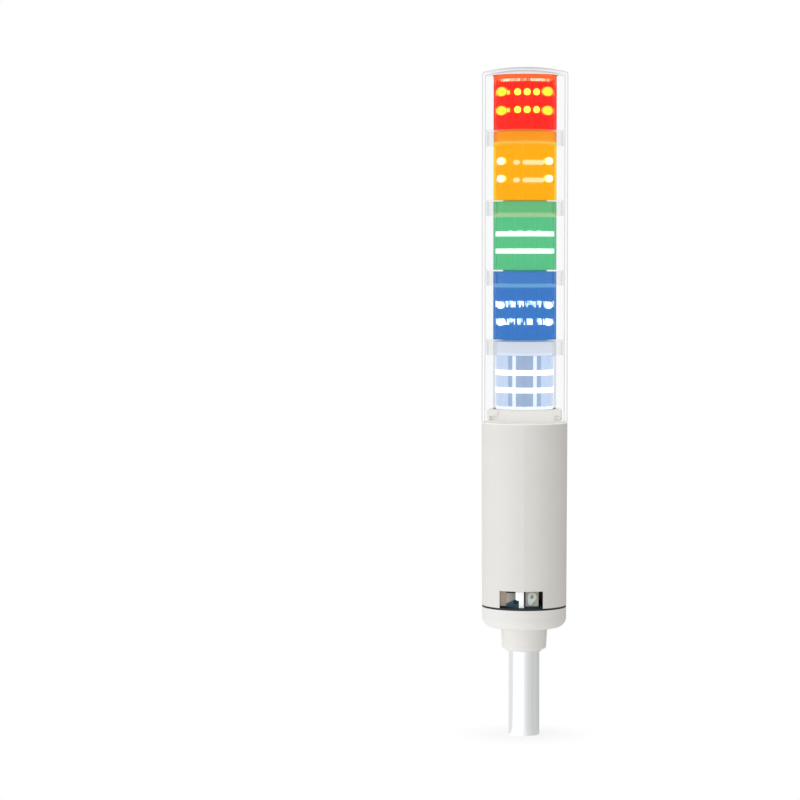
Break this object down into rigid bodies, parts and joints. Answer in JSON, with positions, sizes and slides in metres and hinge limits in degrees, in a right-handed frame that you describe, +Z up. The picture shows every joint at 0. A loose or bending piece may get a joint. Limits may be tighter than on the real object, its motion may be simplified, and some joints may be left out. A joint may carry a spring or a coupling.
{
  "type": "stack light",
  "caption": "Tall LED stack light with stacked coloured light tiers in a clear domed cover, a buzzer housing with a control window, and a pole mount.",
  "frame": {"origin": "centre of the lower end of the pole, on the axis of the light", "axes": "+Z up along the pole and the light, front with the control window towards -Y, +X to the right seen from the front"},
  "size_m": [0.06, 0.06, 0.4668],
  "materials": {
    "clear_cover": "clear polycarbonate, polished",
    "clear_trim": "clear plastic",
    "lens_clear": "clear plastic, polished",
    "lens_blue": "blue transparent plastic, polished",
    "lens_green": "green transparent plastic, polished",
    "lens_amber": "amber transparent plastic, polished",
    "lens_red": "red transparent plastic, polished",
    "body": "off-white moulded plastic, semi-matt",
    "pole": "bright anodised tube",
    "steel": "zinc plated",
    "gasket": "black rubber",
    "seal": "light grey rubber",
    "board": "dark blue-green circuit board",
    "black_plastic": "black plastic",
    "capacitor": "sleeved can",
    "terminal": "green plastic",
    "trimmer": "grey plastic",
    "lever": "white plastic",
    "dial": "pale plastic",
    "white_plastic": "white plastic",
    "led_strip": "white flexible board",
    "led_clear": "LED package, lit",
    "led_blue": "LED package, lit",
    "led_green": "LED package, lit",
    "led_amber": "LED package, lit",
    "led_red": "LED package, lit"
  },
  "bodies": {
    "tower": {"pole": "pole", "pole_locknut": "steel", "base_cap": "body", "cap_screws": "steel", "base_gasket": "gasket", "body_housing": "body", "cover_seal": "seal", "control_board": "board", "main_board": "board", "buzzer": "black_plastic", "capacitors": "capacitor", "terminal_block": "terminal", "mode_switch": "black_plastic", "volume_trimmer": "trimmer", "lens_clear": "lens_clear", "core_clear": "white_plastic", "led_strip_clear": "led_strip", "leds_clear": "led_clear", "reflector_clear": "white_plastic", "spacer_clear": "clear_trim", "lens_blue": "lens_blue", "core_blue": "white_plastic", "led_strip_blue": "led_strip", "leds_blue": "led_blue", "reflector_blue": "white_plastic", "spacer_blue": "clear_trim", "lens_green": "lens_green", "core_green": "white_plastic", "led_strip_green": "led_strip", "leds_green": "led_green", "reflector_green": "white_plastic", "spacer_green": "clear_trim", "lens_amber": "lens_amber", "core_amber": "white_plastic", "led_strip_amber": "led_strip", "leds_amber": "led_amber", "reflector_amber": "white_plastic", "spacer_amber": "clear_trim", "lens_red": "lens_red", "core_red": "white_plastic", "led_strip_red": "led_strip", "leds_red": "led_red", "reflector_red": "white_plastic", "top_plate": "clear_trim", "tie_rod": "steel", "rod_nuts": "steel", "clear_cover": "clear_cover"},
    "lever": {"switch_lever": "lever"},
    "dial": {"volume_dial": "dial"}
  },
  "joints": [
    {"name": "lever_slide", "type": "slide", "parent": "tower", "child": "lever", "axis": [1, 0, 0], "range_m": [-0.004, 0]},
    {"name": "dial_turn", "type": "hinge", "parent": "tower", "child": "dial", "pos_m": [0.0055, -0.0215, 0.0992], "axis": [0, 1, 0], "range_deg": [-135, 135]}
  ]
}
